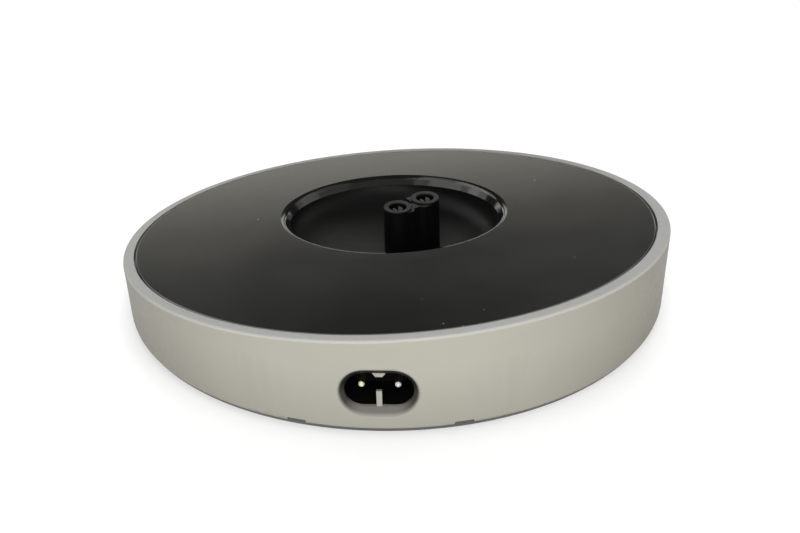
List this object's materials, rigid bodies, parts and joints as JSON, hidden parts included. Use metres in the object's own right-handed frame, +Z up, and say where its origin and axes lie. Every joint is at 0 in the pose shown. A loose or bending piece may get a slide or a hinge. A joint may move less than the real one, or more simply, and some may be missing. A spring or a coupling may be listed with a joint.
{
  "type": "shaver charging stand",
  "caption": "Round slanted charging stand with an oval well, a keyed socket tower on its floor and a recessed pin inlet in its rear wall.",
  "frame": {"origin": "on the axis of the round body, at the table that the rubber feet stand on", "axes": "+Z up, +Y to the back where the power inlet is, +X to the left as seen from the back"},
  "size_m": [0.1043, 0.1042, 0.0213],
  "materials": {
    "shell_grey": "satin moulded plastic, warm light grey",
    "plate_black": "satin-gloss black moulded plastic",
    "cup_black": "satin black moulded plastic",
    "tower_black": "matt black, with a paler worn top",
    "inlet_black": "matt black",
    "base_black": "fine textured dark grey",
    "rubber_black": "matt rubber",
    "contact_spring": "nickel-plated spring strip",
    "pin_metal": "plated brass",
    "screw_steel": "zinc-plated steel",
    "lead_insulation": "flexible black insulation",
    "sleeve_black": "heat-shrink sleeve"
  },
  "bodies": {
    "stand": {"outer_shell": "shell_grey", "top_plate": "plate_black", "well_cup": "cup_black", "tower_seal": "rubber_black", "tower_housing": "tower_black", "contact_base_left": "contact_spring", "contact_base_right": "contact_spring", "inlet_body": "inlet_black", "inlet_pin_left": "pin_metal", "inlet_pin_right": "pin_metal", "lead_left": "lead_insulation", "lead_right": "lead_insulation", "sleeve_inlet_left": "sleeve_black", "sleeve_inlet_right": "sleeve_black", "sleeve_socket_left": "sleeve_black", "sleeve_socket_right": "sleeve_black", "base_plate": "base_black", "rubber_foot_1": "rubber_black", "rubber_foot_2": "rubber_black", "rubber_foot_3": "rubber_black", "base_screws": "screw_steel", "cup_screws": "screw_steel", "inlet_screws": "screw_steel"},
    "leaf_left_outer": {"contact_leaf_left_outer": "contact_spring"},
    "leaf_left_inner": {"contact_leaf_left_inner": "contact_spring"},
    "leaf_right_outer": {"contact_leaf_right_outer": "contact_spring"},
    "leaf_right_inner": {"contact_leaf_right_inner": "contact_spring"}
  },
  "joints": [
    {"name": "left_outer_leaf_spring", "type": "hinge", "parent": "stand", "child": "leaf_left_outer", "pos_m": [0.00067, -0.00659, 0.00835], "axis": [-0.6307, 0.776, 0], "range_deg": [0, 2.5], "stiffness_Nm_per_rad": 0.064},
    {"name": "left_inner_leaf_spring", "type": "hinge", "parent": "stand", "child": "leaf_left_inner", "pos_m": [-0.00096, -0.00792, 0.00835], "axis": [0.6307, -0.776, 0], "range_deg": [0, 2.5], "stiffness_Nm_per_rad": 0.064},
    {"name": "right_outer_leaf_spring", "type": "hinge", "parent": "stand", "child": "leaf_right_outer", "pos_m": [-0.00601, -0.01201, 0.00835], "axis": [0.6307, -0.776, 0], "range_deg": [0, 2.5], "stiffness_Nm_per_rad": 0.064},
    {"name": "right_inner_leaf_spring", "type": "hinge", "parent": "stand", "child": "leaf_right_inner", "pos_m": [-0.00438, -0.01069, 0.00835], "axis": [-0.6307, 0.776, 0], "range_deg": [0, 2.5], "stiffness_Nm_per_rad": 0.064}
  ]
}
